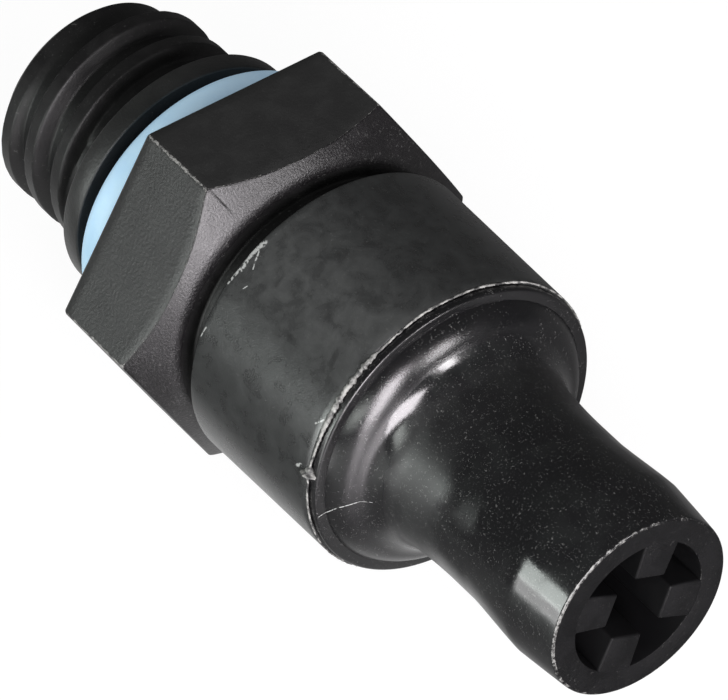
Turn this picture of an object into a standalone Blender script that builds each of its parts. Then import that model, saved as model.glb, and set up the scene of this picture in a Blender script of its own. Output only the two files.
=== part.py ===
"""Crankcase ventilation valve: a screw-in moulded valve with a sprung plunger.

The valve's axis is X, with the hose nipple towards +X and the threaded inlet towards -X.
The hexagon has a flat on top and a flat underneath. The origin is on the axis, half way along.
"""

from math import atan2, cos, pi, radians, sin, sqrt, tan

import bmesh
import bpy
from mathutils import Matrix, Vector

MM = 0.001

# Overall length and the clearances between pieces
VALVE_LENGTH = 61.0 * MM
SEAT_GAP = 0.3 * MM
RUNNING_GAP = 0.4 * MM

# Threaded stem
THREAD_ROOT_RADIUS = 7.0 * MM
THREAD_CREST_RADIUS = 8.0 * MM
THREAD_PITCH = 3.0 * MM
THREAD_CREST_WIDTH = 1.0 * MM
THREAD_ROOT_WIDTH = 1.8 * MM
THREAD_START = 0.95 * MM
THREAD_TURNS = 2.6
THREAD_START_ANGLE = 104.0
THREAD_FADE_TURNS = 0.3
THREAD_LEAST_SIZE = 0.02
THREAD_EDGE = 0.15 * MM
THREAD_SINK = 0.3 * MM
THREAD_SETBACK = 0.1 * MM
STEM_CHAMFER = 0.5 * MM

# Collar, ring groove and sealing ring
COLLAR_RADIUS = 9.37 * MM
COLLAR_START = 10.5 * MM
COLLAR_WIDTH = 1.6 * MM
COLLAR_FLARE = 2.2 * MM
COLLAR_EDGE = 0.15 * MM
GROOVE_WIDTH = 4.9 * MM
RING_CORD_RADIUS = 1.75 * MM
RING_CENTRE_RADIUS = 8.82 * MM

# Hexagon, the chamfer in front of it and the relief groove before the barrel
HEX_ACROSS_FLATS = 24.0 * MM
HEX_CORNER_RADIUS = 0.8 * MM
HEX_LENGTH = 6.6 * MM
HEX_CROWN = 1.3 * MM
CHAMFER_LENGTH = 1.7 * MM
CHAMFER_RADIUS = 11.43 * MM
CHAMFER_NORMAL = 55.0
NOSE_ROUNDING = 2.3 * MM
WALL_NORMAL = 80.0
NECK_SETBACK = 1.8 * MM
NECK_RADIUS = 9.6 * MM
NECK_FILLET = 0.2 * MM

# Barrel
BARREL_SETBACK = 4.2 * MM
BARREL_BASE_RADIUS = 11.33 * MM
BARREL_RADIUS = 11.2 * MM
BARREL_LENGTH = 12.3 * MM

# Bores of the housing
MOUTH_RADIUS = 5.6 * MM
MOUTH_DEPTH = 7.0 * MM
MOUTH_CHAMFER = 0.4 * MM
GUIDE_RADIUS = 4.8 * MM
SOCKET_RADIUS = 8.6 * MM
SOCKET_DEPTH = 12.8 * MM

# Outlet nipple
RIM_THICKNESS = 0.7 * MM
RIM_RADIUS = 10.98 * MM
RIM_ROUNDING = 0.18 * MM
DOME_RADIUS = 10.2 * MM
DOME_ROUNDING = 2.7 * MM
DOME_FIRST_NORMAL = 65.0
DOME_LAST_NORMAL = 25.0
NIPPLE_FILLET = 3.15 * MM
NIPPLE_RADIUS = 6.83 * MM
BARB_RADIUS = 7.23 * MM
NIPPLE_END_RADIUS = 6.87 * MM
BARB_FROM_END = 4.4 * MM
FLARE_FROM_END = 9.5 * MM
NIPPLE_EDGE = 0.2 * MM
OUTLET_RADIUS = 5.0 * MM
SPIGOT_WALL = 1.6 * MM
THROAT_FROM_RIM = 0.3 * MM
THROAT_LENGTH = 3.2 * MM

# Ribs inside the nipple's mouth
RIB_COUNT = 4
RIB_FIRST_ANGLE = 68.0
RIB_TIP_RADIUS = 2.27 * MM
RIB_TIP_WIDTH = 2.55 * MM
RIB_ROOT_WIDTH = 2.9 * MM
RIB_LENGTH = 12.0 * MM
RIB_RECESS = 0.15 * MM

# Seat plate and its retaining ring
SEAT_THICKNESS = 1.2 * MM
SEAT_HOLE_RADIUS = 2.8 * MM
SEAT_BEVEL = 0.3 * MM
RETAINER_THICKNESS = 0.6 * MM
RETAINER_HOLE_RADIUS = 3.7 * MM
RETAINER_TABS = 6
RETAINER_NOTCH_DEPTH = 0.6 * MM
RETAINER_TAB_ANGLE = 34.0
RETAINER_TAB_SLOPE = 2.0

# Metering orifice
ORIFICE_THICKNESS = 2.0 * MM
ORIFICE_HOLE_RADIUS = 2.2 * MM
ORIFICE_BOSS_RADIUS = 2.65 * MM
ORIFICE_BOSS_HEIGHT = 1.2 * MM
ORIFICE_BEVEL = 0.25 * MM

# Plunger
PLUNGER_FLANGE_THICKNESS = 1.3 * MM
PLUNGER_EDGE = 0.2 * MM
PLUNGER_BEVEL = 0.3 * MM
PLUNGER_NOTCHES = 3
PLUNGER_NOTCH_RADIUS = 1.1 * MM
PLUNGER_STEM_RADIUS = 1.9 * MM
PLUNGER_NOSE_RADIUS = 1.15 * MM
PLUNGER_TAPER_LENGTH = 5.0 * MM
PLUNGER_TIP_RADIUS = 0.9 * MM
PLUNGER_TIP_REACH = 1.2 * MM

# Main spring
SPRING_WIRE_RADIUS = 0.35 * MM
SPRING_MEAN_RADIUS = 3.35 * MM
SPRING_ACTIVE_TURNS = 6.5
SPRING_END_TURNS = 1.0
SPRING_END_PITCH = 0.85 * MM

# Facets round a full turn, and steps along curves
TURNED_SEGMENTS = 48
SMALL_SEGMENTS = 32
THREAD_SEGMENTS = 36
RING_CORD_SEGMENTS = 12
SPRING_SEGMENTS = 14
NOTCH_SEGMENTS = 12
FLAT_STEPS = 7
FLARE_STEPS = 4
NOSE_STEPS = 3
ARC_STEPS = 4

# Places along the axis, measured from the inlet end face
COLLAR_END = COLLAR_START + COLLAR_WIDTH
HEX_BACK = COLLAR_END + GROOVE_WIDTH
HEX_FRONT = HEX_BACK + HEX_LENGTH
CHAMFER_END = HEX_FRONT + CHAMFER_LENGTH
BARREL_BASE = HEX_FRONT + BARREL_SETBACK
NECK_START = BARREL_BASE - NECK_SETBACK
BARREL_END = BARREL_BASE + BARREL_LENGTH
SOCKET_FLOOR = BARREL_END - SOCKET_DEPTH
RIM_START = BARREL_END + SEAT_GAP
RIM_FACE = RIM_START + RIM_THICKNESS
THROAT_START = RIM_FACE + THROAT_FROM_RIM
GROOVE_RADIUS = RING_CENTRE_RADIUS - RING_CORD_RADIUS - SEAT_GAP
RING_PLACE = HEX_BACK - SEAT_GAP - RING_CORD_RADIUS
SEAT_OUTER_RADIUS = MOUTH_RADIUS - SEAT_GAP
SEAT_END = MOUTH_DEPTH - SEAT_GAP
SEAT_START = SEAT_END - SEAT_THICKNESS
RETAINER_END = SEAT_START - SEAT_GAP
RETAINER_START = RETAINER_END - RETAINER_THICKNESS
ORIFICE_START = SOCKET_FLOOR + SEAT_GAP
ORIFICE_END = ORIFICE_START + ORIFICE_THICKNESS
ORIFICE_OUTER_RADIUS = SOCKET_RADIUS - SEAT_GAP
SPIGOT_START = ORIFICE_END + SEAT_GAP
SPIGOT_RADIUS = SOCKET_RADIUS - SEAT_GAP
SPIGOT_BORE_RADIUS = SPIGOT_RADIUS - SPIGOT_WALL
FLANGE_START = SEAT_END + SEAT_GAP
FLANGE_END = FLANGE_START + PLUNGER_FLANGE_THICKNESS
FLANGE_RADIUS = GUIDE_RADIUS - RUNNING_GAP


def clear_scene():
    for old in list(bpy.data.objects):
        bpy.data.objects.remove(old)


def plain_material(name, colour, roughness, metallic=0.0):
    material = bpy.data.materials.new(name)
    material.use_nodes = True
    shader = material.node_tree.nodes["Principled BSDF"]
    shader.inputs["Base Color"].default_value = (*colour, 1.0)
    shader.inputs["Roughness"].default_value = roughness
    shader.inputs["Metallic"].default_value = metallic
    return material


def place(along, radius, angle):
    """A point at a distance from the inlet end, a radius and an angle from +Y towards +Z."""
    return Vector((along - VALVE_LENGTH / 2, radius * cos(angle), radius * sin(angle)))


def finish_mesh(name, bm, material, sharp_angle=30.0):
    bmesh.ops.remove_doubles(bm, verts=bm.verts, dist=0.000001)
    bmesh.ops.recalc_face_normals(bm, faces=bm.faces)
    mesh = bpy.data.meshes.new(name)
    bm.to_mesh(mesh)
    bm.free()
    mesh.shade_smooth()
    mesh.set_sharp_from_angle(angle=radians(sharp_angle))
    mesh.materials.append(material)
    piece = bpy.data.objects.new(name, mesh)
    bpy.context.collection.objects.link(piece)
    return piece


def turned(name, outline, material, segments=TURNED_SEGMENTS):
    """Spins an outline of (along, radius) points about the valve's axis.

    A closed outline gives a ring. One whose ends are on the axis gives a solid.
    """
    bm = bmesh.new()
    verts = [bm.verts.new(place(along, radius, 0.0)) for along, radius in outline]
    on_axis = outline[0][1] == 0.0 and outline[-1][1] == 0.0
    for first, second in zip(verts, verts[1:]):
        bm.edges.new((first, second))
    if not on_axis:
        bm.edges.new((verts[-1], verts[0]))
    bmesh.ops.spin(
        bm,
        geom=bm.verts[:] + bm.edges[:],
        cent=(0.0, 0.0, 0.0),
        axis=(1.0, 0.0, 0.0),
        angle=2 * pi,
        steps=segments,
        use_merge=True,
    )
    return finish_mesh(name, bm, material)


def arc(centre_along, centre_radius, size, start, end, steps):
    """Points of an arc in the outline's plane, with its angles in degrees from +X."""
    points = []
    for step in range(steps + 1):
        angle = radians(start + (end - start) * step / steps)
        points.append((centre_along + size * cos(angle), centre_radius + size * sin(angle)))
    return points


def hide_tool(tool):
    tool.hide_render = True
    tool.display_type = "WIRE"


def combine(piece, tool, operation):
    hide_tool(tool)
    modifier = piece.modifiers.new(tool.name, "BOOLEAN")
    modifier.operation = operation
    modifier.solver = "EXACT"
    modifier.object = tool


def hexagon_corner():
    """How far a rounded corner's centre is from the axis, and half the angle it takes up."""
    centre = (HEX_ACROSS_FLATS / 2 - HEX_CORNER_RADIUS) / cos(pi / 6)
    half = atan2(HEX_CORNER_RADIUS * sin(pi / 6), centre + HEX_CORNER_RADIUS * cos(pi / 6))
    return centre, half


def hexagon_angles():
    """Angles round the housing: three at each rounded corner, the rest along the flats."""
    corner_half = hexagon_corner()[1]
    angles = []
    for corner in range(6):
        start = corner * pi / 3
        angles += [start, start + corner_half]
        span = pi / 3 - 2 * corner_half
        for step in range(1, FLAT_STEPS):
            angles.append(start + corner_half + span * step / FLAT_STEPS)
        angles.append(start + pi / 3 - corner_half)
    return angles


def hexagon_radius(angle):
    """Distance from the axis to a hexagon with rounded corners, at an angle."""
    from_corner = (angle + pi / 6) % (pi / 3) - pi / 6
    corner_centre, corner_half = hexagon_corner()
    if abs(from_corner) < corner_half:
        across = corner_centre * sin(from_corner)
        return corner_centre * cos(from_corner) + sqrt(HEX_CORNER_RADIUS**2 - across**2)
    return HEX_ACROSS_FLATS / 2 / cos(pi / 6 - abs(from_corner))


def hexagon_front(angle):
    """Where a flat ends: the edge is crowned, furthest forward in the middle of the flat."""
    flat = HEX_ACROSS_FLATS / 2
    corner = flat / cos(pi / 6)
    return HEX_FRONT + HEX_CROWN * (corner - hexagon_radius(angle)) / (corner - flat)


def nose_profile():
    """The hexagon's nose from its chamfer over the rounding and down the wall to the neck."""
    profile = []
    for step in range(NOSE_STEPS + 1):
        normal = radians(CHAMFER_NORMAL + (WALL_NORMAL - CHAMFER_NORMAL) * step / NOSE_STEPS)
        along = CHAMFER_END + NOSE_ROUNDING * (sin(normal) - sin(radians(CHAMFER_NORMAL)))
        radius = CHAMFER_RADIUS + NOSE_ROUNDING * (cos(normal) - cos(radians(CHAMFER_NORMAL)))
        profile.append((along, radius))
    profile.append((NECK_START - NECK_FILLET, NECK_RADIUS + NECK_FILLET))
    profile.append((NECK_START, NECK_RADIUS))
    return profile


def housing_body(material):
    """The moulding without its thread, lofted through closed loops of points."""
    angles = hexagon_angles()
    loops = []

    def round_loop(along, radius):
        loops.append([place(along, radius, angle) for angle in angles])

    round_loop(0.0, THREAD_ROOT_RADIUS - STEM_CHAMFER)
    round_loop(STEM_CHAMFER, THREAD_ROOT_RADIUS)
    flare_height = COLLAR_RADIUS - COLLAR_EDGE - THREAD_ROOT_RADIUS
    flare_start = COLLAR_START - COLLAR_FLARE
    for step in range(FLARE_STEPS + 1):
        share = step / FLARE_STEPS
        radius = THREAD_ROOT_RADIUS + flare_height * share**2
        round_loop(flare_start + COLLAR_FLARE * sqrt(share), radius)
    round_loop(COLLAR_START + COLLAR_EDGE, COLLAR_RADIUS)
    round_loop(COLLAR_END - COLLAR_EDGE, COLLAR_RADIUS)
    round_loop(COLLAR_END, COLLAR_RADIUS - COLLAR_EDGE)
    round_loop(COLLAR_END, GROOVE_RADIUS)
    round_loop(HEX_BACK, GROOVE_RADIUS)
    loops.append([place(HEX_BACK, hexagon_radius(angle), angle) for angle in angles])
    loops.append([place(hexagon_front(angle), hexagon_radius(angle), angle) for angle in angles])
    for along, radius in nose_profile():
        round_loop(along, radius)
    round_loop(BARREL_BASE, NECK_RADIUS)
    round_loop(BARREL_BASE, BARREL_BASE_RADIUS)
    round_loop(BARREL_END, BARREL_RADIUS)
    round_loop(BARREL_END, SOCKET_RADIUS)
    round_loop(SOCKET_FLOOR, SOCKET_RADIUS)
    round_loop(SOCKET_FLOOR, GUIDE_RADIUS)
    round_loop(MOUTH_DEPTH, GUIDE_RADIUS)
    round_loop(MOUTH_DEPTH, MOUTH_RADIUS)
    round_loop(MOUTH_CHAMFER, MOUTH_RADIUS)
    round_loop(0.0, MOUTH_RADIUS + MOUTH_CHAMFER)

    bm = bmesh.new()
    rings = [[bm.verts.new(point) for point in loop] for loop in loops]
    count = len(angles)
    for ring, following in zip(rings, rings[1:] + rings[:1]):
        for index in range(count):
            after = (index + 1) % count
            bm.faces.new((ring[index], ring[after], following[after], following[index]))
    return finish_mesh("valve_housing", bm, material)


def thread_ridge(material):
    """One ridge wound round the stem, sunk into it and fading out at both ends."""
    half_root = THREAD_ROOT_WIDTH / 2
    half_crest = THREAD_CREST_WIDTH / 2
    flank = (half_root - half_crest) / (THREAD_CREST_RADIUS - THREAD_ROOT_RADIUS)
    sunk_radius = THREAD_ROOT_RADIUS - THREAD_SINK
    half_sunk = half_root + flank * THREAD_SINK
    section = [
        (-half_sunk, sunk_radius),
        (-half_crest, THREAD_CREST_RADIUS - THREAD_EDGE),
        (-half_crest + THREAD_EDGE, THREAD_CREST_RADIUS),
        (half_crest - THREAD_EDGE, THREAD_CREST_RADIUS),
        (half_crest, THREAD_CREST_RADIUS - THREAD_EDGE),
        (half_sunk, sunk_radius),
    ]
    steps = round(THREAD_TURNS * THREAD_SEGMENTS)
    bm = bmesh.new()
    rings = []
    for step in range(steps + 1):
        turn = step * THREAD_TURNS / steps
        near_end = min(turn, THREAD_TURNS - turn)
        fade = min(1.0, near_end / THREAD_FADE_TURNS)
        fade = max(THREAD_LEAST_SIZE, fade * fade * (3 - 2 * fade))
        angle = radians(THREAD_START_ANGLE) + 2 * pi * turn
        along = THREAD_START + THREAD_PITCH * turn
        ring = []
        for offset, radius in section:
            faded = sunk_radius + (radius - sunk_radius) * fade
            ring.append(bm.verts.new(place(max(along + offset, THREAD_SETBACK), faded, angle)))
        rings.append(ring)
    count = len(section)
    for ring, following in zip(rings, rings[1:]):
        for index in range(count):
            after = (index + 1) % count
            bm.faces.new((ring[index], ring[after], following[after], following[index]))
    bm.faces.new(rings[0])
    bm.faces.new(list(reversed(rings[-1])))
    return finish_mesh("thread_ridge", bm, material)


def valve_housing(material):
    housing = housing_body(material)
    combine(housing, thread_ridge(material), "UNION")
    return housing


def outlet_nipple(material):
    """The dome is a broad rounding on the rim's face, and a wide fillet carries it to the tube."""
    first = radians(DOME_FIRST_NORMAL)
    last = radians(DOME_LAST_NORMAL)
    dome = arc(
        RIM_FACE - DOME_ROUNDING * cos(first),
        DOME_RADIUS - DOME_ROUNDING * sin(first),
        DOME_ROUNDING,
        DOME_FIRST_NORMAL,
        DOME_LAST_NORMAL,
        ARC_STEPS,
    )
    fillet_radius_centre = NIPPLE_RADIUS + NIPPLE_FILLET
    fillet_top = fillet_radius_centre - NIPPLE_FILLET * sin(last)
    slope_run = (dome[-1][1] - fillet_top) * tan(last)
    fillet = arc(
        dome[-1][0] + slope_run + NIPPLE_FILLET * cos(last),
        fillet_radius_centre,
        NIPPLE_FILLET,
        180.0 + DOME_LAST_NORMAL,
        270.0,
        ARC_STEPS,
    )
    outline = [(SPIGOT_START, SPIGOT_BORE_RADIUS), (SPIGOT_START, SPIGOT_RADIUS)]
    outline += [(RIM_START, SPIGOT_RADIUS), (RIM_START, RIM_RADIUS)]
    outline += [(RIM_FACE - RIM_ROUNDING, RIM_RADIUS), (RIM_FACE, RIM_RADIUS - RIM_ROUNDING)]
    outline += dome
    outline += fillet
    outline += [
        (VALVE_LENGTH - FLARE_FROM_END, NIPPLE_RADIUS),
        (VALVE_LENGTH - BARB_FROM_END, BARB_RADIUS),
        (VALVE_LENGTH - NIPPLE_EDGE, NIPPLE_END_RADIUS),
        (VALVE_LENGTH, NIPPLE_END_RADIUS - NIPPLE_EDGE),
        (VALVE_LENGTH, OUTLET_RADIUS),
        (THROAT_START + THROAT_LENGTH, OUTLET_RADIUS),
        (THROAT_START, SPIGOT_BORE_RADIUS),
    ]
    nipple = turned("outlet_nipple", outline, material)
    for number in range(RIB_COUNT):
        angle = radians(RIB_FIRST_ANGLE) + number * 2 * pi / RIB_COUNT
        combine(nipple, outlet_rib(number, angle, material), "UNION")
    return nipple


def outlet_rib(number, angle, material):
    """One rib: a tapered bar whose root is sunk in the nipple's wall."""
    start = VALVE_LENGTH - RIB_LENGTH
    end = VALVE_LENGTH - RIB_RECESS
    root = (OUTLET_RADIUS + NIPPLE_RADIUS) / 2
    taper = (RIB_ROOT_WIDTH - RIB_TIP_WIDTH) / (OUTLET_RADIUS - RIB_TIP_RADIUS)
    root_width = RIB_TIP_WIDTH + taper * (root - RIB_TIP_RADIUS)
    outward = Vector((0.0, cos(angle), sin(angle)))
    across = Vector((0.0, -sin(angle), cos(angle)))
    bm = bmesh.new()
    corners = []
    for radius, width in ((RIB_TIP_RADIUS, RIB_TIP_WIDTH), (root, root_width)):
        for side in (-1, 1):
            point = Vector((start - VALVE_LENGTH / 2, 0.0, 0.0))
            corners.append(bm.verts.new(point + outward * radius + across * side * width / 2))
    face = bm.faces.new((corners[0], corners[1], corners[3], corners[2]))
    grown = bmesh.ops.extrude_face_region(bm, geom=[face])
    moved = [item for item in grown["geom"] if isinstance(item, bmesh.types.BMVert)]
    bmesh.ops.translate(bm, verts=moved, vec=(end - start, 0.0, 0.0))
    return finish_mesh(f"rib_{number + 1}", bm, material)


def sealing_ring(material):
    outline = arc(RING_PLACE, RING_CENTRE_RADIUS, RING_CORD_RADIUS, 0.0, 360.0, RING_CORD_SEGMENTS)
    return turned("sealing_ring", outline[:-1], material)


def inlet_seat(material):
    outline = [
        (SEAT_START, SEAT_HOLE_RADIUS + SEAT_BEVEL),
        (SEAT_START, SEAT_OUTER_RADIUS - SEAT_BEVEL),
        (SEAT_START + SEAT_BEVEL, SEAT_OUTER_RADIUS),
        (SEAT_END, SEAT_OUTER_RADIUS),
        (SEAT_END, SEAT_HOLE_RADIUS),
        (SEAT_START + SEAT_BEVEL, SEAT_HOLE_RADIUS),
    ]
    return turned("inlet_seat", outline, material, SMALL_SEGMENTS)


def seat_retainer(material):
    """A spring steel ring whose tabs grip the mouth, with a notch between each two."""
    tab_radius = SEAT_OUTER_RADIUS
    notch_radius = tab_radius - RETAINER_NOTCH_DEPTH
    spacing = 360.0 / RETAINER_TABS
    steps = []
    for tab in range(RETAINER_TABS):
        middle = tab * spacing
        edge = RETAINER_TAB_ANGLE / 2
        notch_edge = edge + RETAINER_TAB_SLOPE
        steps += [(middle - edge, tab_radius), (middle, tab_radius), (middle + edge, tab_radius)]
        steps += [(middle + notch_edge, notch_radius)]
        steps += [(middle + spacing - notch_edge, notch_radius)]
    bm = bmesh.new()
    rings = []
    for along, inner in (
        (RETAINER_START, False),
        (RETAINER_END, False),
        (RETAINER_END, True),
        (RETAINER_START, True),
    ):
        ring = []
        for angle, radius in steps:
            chosen = RETAINER_HOLE_RADIUS if inner else radius
            ring.append(bm.verts.new(place(along, chosen, radians(angle))))
        rings.append(ring)
    count = len(steps)
    for ring, following in zip(rings, rings[1:] + rings[:1]):
        for index in range(count):
            after = (index + 1) % count
            bm.faces.new((ring[index], ring[after], following[after], following[index]))
    return finish_mesh("seat_retainer", bm, material)


def metering_orifice(material):
    boss_start = ORIFICE_START - ORIFICE_BOSS_HEIGHT
    outline = [
        (boss_start, ORIFICE_HOLE_RADIUS + ORIFICE_BEVEL / 2),
        (boss_start, ORIFICE_BOSS_RADIUS),
        (ORIFICE_START, ORIFICE_BOSS_RADIUS),
        (ORIFICE_START, ORIFICE_OUTER_RADIUS - ORIFICE_BEVEL),
        (ORIFICE_START + ORIFICE_BEVEL, ORIFICE_OUTER_RADIUS),
        (ORIFICE_END, ORIFICE_OUTER_RADIUS),
        (ORIFICE_END, ORIFICE_HOLE_RADIUS + ORIFICE_BEVEL),
        (ORIFICE_END - ORIFICE_BEVEL, ORIFICE_HOLE_RADIUS),
        (boss_start + ORIFICE_BEVEL / 2, ORIFICE_HOLE_RADIUS),
    ]
    return turned("metering_orifice", outline, material, SMALL_SEGMENTS)


def plunger(material, travel_guide):
    nose_start = ORIFICE_START - PLUNGER_TAPER_LENGTH
    tip = ORIFICE_END + PLUNGER_TIP_REACH
    outline = [
        (FLANGE_START, 0.0),
        (FLANGE_START, FLANGE_RADIUS - PLUNGER_EDGE),
        (FLANGE_START + PLUNGER_EDGE, FLANGE_RADIUS),
        (FLANGE_END, FLANGE_RADIUS),
        (FLANGE_END, PLUNGER_STEM_RADIUS + PLUNGER_BEVEL),
        (FLANGE_END + PLUNGER_BEVEL, PLUNGER_STEM_RADIUS),
        (nose_start, PLUNGER_STEM_RADIUS),
        (ORIFICE_START, PLUNGER_NOSE_RADIUS),
        (tip - PLUNGER_BEVEL, PLUNGER_TIP_RADIUS),
        (tip, PLUNGER_TIP_RADIUS - PLUNGER_BEVEL),
        (tip, 0.0),
    ]
    piece = turned("plunger", outline, material, SMALL_SEGMENTS)
    for number in range(PLUNGER_NOTCHES):
        angle = number * 2 * pi / PLUNGER_NOTCHES + pi / 2
        combine(piece, plunger_notch(number, angle, material), "DIFFERENCE")
    piece.parent = travel_guide
    piece.matrix_parent_inverse = Matrix.Translation(-travel_guide.location)
    return piece


def plunger_notch(number, angle, material):
    """A round cutter that leaves a gas passage in the edge of the flange."""
    bm = bmesh.new()
    bmesh.ops.create_cone(
        bm,
        cap_ends=True,
        segments=NOTCH_SEGMENTS,
        radius1=PLUNGER_NOTCH_RADIUS,
        radius2=PLUNGER_NOTCH_RADIUS,
        depth=2 * PLUNGER_FLANGE_THICKNESS,
    )
    bmesh.ops.rotate(
        bm, verts=bm.verts, cent=(0.0, 0.0, 0.0), matrix=Matrix.Rotation(pi / 2, 3, "Y")
    )
    middle = (FLANGE_START + FLANGE_END) / 2
    bmesh.ops.translate(bm, verts=bm.verts, vec=place(middle, FLANGE_RADIUS, angle))
    return finish_mesh(f"plunger_notch_{number + 1}", bm, material)


def main_spring(material):
    """Round wire wound about the plunger's stem, with closed coils at both ends."""
    start = FLANGE_END + SEAT_GAP + SPRING_WIRE_RADIUS
    end = ORIFICE_START - SEAT_GAP - SPRING_WIRE_RADIUS
    end_rise = SPRING_END_PITCH * SPRING_END_TURNS
    active_rise = end - start - 2 * end_rise
    turns = SPRING_ACTIVE_TURNS + 2 * SPRING_END_TURNS
    count = round(turns * SPRING_SEGMENTS)
    points = []
    for step in range(count + 1):
        turn = turns * step / count
        if turn < SPRING_END_TURNS:
            along = start + SPRING_END_PITCH * turn
        elif turn < SPRING_END_TURNS + SPRING_ACTIVE_TURNS:
            along = start + end_rise + active_rise * (turn - SPRING_END_TURNS) / SPRING_ACTIVE_TURNS
        else:
            along = end - SPRING_END_PITCH * (turns - turn)
        points.append(place(along, SPRING_MEAN_RADIUS, 2 * pi * turn))
    curve = bpy.data.curves.new("main_spring", "CURVE")
    curve.dimensions = "3D"
    curve.bevel_depth = SPRING_WIRE_RADIUS
    curve.bevel_resolution = 1
    curve.use_fill_caps = True
    spline = curve.splines.new("POLY")
    spline.points.add(len(points) - 1)
    for spot, point in zip(spline.points, points):
        spot.co = (*point, 1.0)
    curve.materials.append(material)
    piece = bpy.data.objects.new("main_spring", curve)
    bpy.context.collection.objects.link(piece)
    return piece


def plunger_guide():
    """An empty on the valve's axis, at the face where the plunger meets its seat."""
    guide = bpy.data.objects.new("plunger_axis", None)
    guide.location = place(FLANGE_START, 0.0, 0.0)
    bpy.context.collection.objects.link(guide)
    return guide


def build():
    clear_scene()
    nylon = plain_material("black_nylon", (0.018, 0.018, 0.019), 0.38)
    rubber = plain_material("blue_rubber", (0.33, 0.62, 0.9), 0.45)
    steel = plain_material("plated_steel", (0.55, 0.55, 0.53), 0.32, 1.0)
    brass = plain_material("turned_brass", (0.72, 0.52, 0.22), 0.3, 1.0)
    wire = plain_material("spring_steel", (0.45, 0.45, 0.46), 0.3, 1.0)
    valve_housing(nylon)
    outlet_nipple(nylon)
    sealing_ring(rubber)
    inlet_seat(steel)
    seat_retainer(wire)
    metering_orifice(brass)
    plunger(steel, plunger_guide())
    main_spring(wire)


build()
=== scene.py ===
# %% [markdown]
# # A crankcase ventilation valve
# This valve screws into an engine cover and holds a hose on its nipple. It is almost all one black
# moulded nylon, so its looks come from small things: how each surface scatters light, the flash
# of the weld, the nicks along its edges and the pale blue ring behind the hexagon.
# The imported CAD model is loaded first. Every piece below is built in its frame, in metres.

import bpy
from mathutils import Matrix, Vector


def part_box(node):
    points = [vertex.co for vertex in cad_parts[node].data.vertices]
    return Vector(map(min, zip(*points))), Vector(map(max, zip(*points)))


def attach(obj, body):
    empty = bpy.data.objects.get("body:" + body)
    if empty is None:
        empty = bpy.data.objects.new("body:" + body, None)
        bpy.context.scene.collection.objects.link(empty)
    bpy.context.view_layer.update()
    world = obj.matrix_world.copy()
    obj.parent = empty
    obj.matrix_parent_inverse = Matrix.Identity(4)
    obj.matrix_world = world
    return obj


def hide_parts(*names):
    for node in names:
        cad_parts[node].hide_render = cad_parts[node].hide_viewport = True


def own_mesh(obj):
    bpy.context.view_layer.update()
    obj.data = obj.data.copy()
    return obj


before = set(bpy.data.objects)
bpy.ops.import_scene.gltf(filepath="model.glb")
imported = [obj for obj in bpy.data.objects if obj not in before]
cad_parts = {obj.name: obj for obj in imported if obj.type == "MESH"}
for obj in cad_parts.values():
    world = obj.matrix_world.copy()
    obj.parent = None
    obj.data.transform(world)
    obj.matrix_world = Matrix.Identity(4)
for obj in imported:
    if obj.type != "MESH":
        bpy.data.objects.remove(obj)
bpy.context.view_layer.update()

# %% [markdown]
# ## Measuring along the axis
# Everything is turned or wound about one axis, so a place is easiest to say as three numbers:
# how far it is from the inlet end, how far from the axis, and at what angle round it.
# One small function turns those into a point, and another reads them back from a point.

# %% Places on the valve
from math import atan2, cos, exp, pi, radians, sin, sqrt, tan

import bmesh
import bpy
from mathutils import Matrix, Vector, noise

MM = 0.001
INLET_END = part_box("valve_housing")[0].x
OUTLET_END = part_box("outlet_nipple")[1].x
VALVE_LENGTH = (OUTLET_END - INLET_END) / MM


def place(along, radius, angle):
    """A point from millimetres along the axis and out from it, and an angle from +Y to +Z."""
    return Vector((INLET_END + along * MM, radius * MM * cos(angle), radius * MM * sin(angle)))


def numbers_of(point):
    """The millimetres along and out, and the angle, that place would need for a point."""
    along = (point.x - INLET_END) / MM
    return along, sqrt(point.y**2 + point.z**2) / MM, atan2(point.z, point.y)


def full_degrees(angle):
    """An angle in degrees, from 0 to 360."""
    return (angle * 180 / pi) % 360


def smooth_step(value):
    value = min(1.0, max(0.0, value))
    return value * value * (3 - 2 * value)


print(f"the valve is {VALVE_LENGTH:.1f} mm long")

# %% [markdown]
# ## The camera
# The photograph looks down on the valve from the nipple's side with a long lens. The valve's own
# outlines gave the camera: where the axis, the rims and the corners of the hexagon appear fixes
# its direction and distance.

# %% Camera
CAMERA_PLACE = Vector((0.396789, -0.288802, 0.466462))
CAMERA_LOOK = Vector((-0.585017, 0.426770, -0.689612))
CAMERA_LENS = 513.276

camera_data = bpy.data.cameras.new("camera")
camera_data.lens = CAMERA_LENS
camera_data.sensor_width = 36.0
camera = bpy.data.objects.new("camera", camera_data)
camera.location = CAMERA_PLACE
camera.rotation_mode = "QUATERNION"
camera.rotation_quaternion = CAMERA_LOOK.to_track_quat("-Z", "Y")
bpy.context.scene.collection.objects.link(camera)
bpy.context.scene.camera = camera
bpy.context.scene.view_settings.view_transform = "Standard"
print("camera at", [round(value, 3) for value in CAMERA_PLACE])

# %% [markdown]
# ## Building blocks
# A lathe is the model for most of these pieces. An outline is drawn on one side of the axis and
# `bmesh.ops.spin` sweeps it round. Each point of the outline carries a number, which the spin
# copies, so that a rule can find its points later and push them onto a hexagon or a thread. A
# screw modifier would sweep the outline too, but it keeps no such number.

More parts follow.
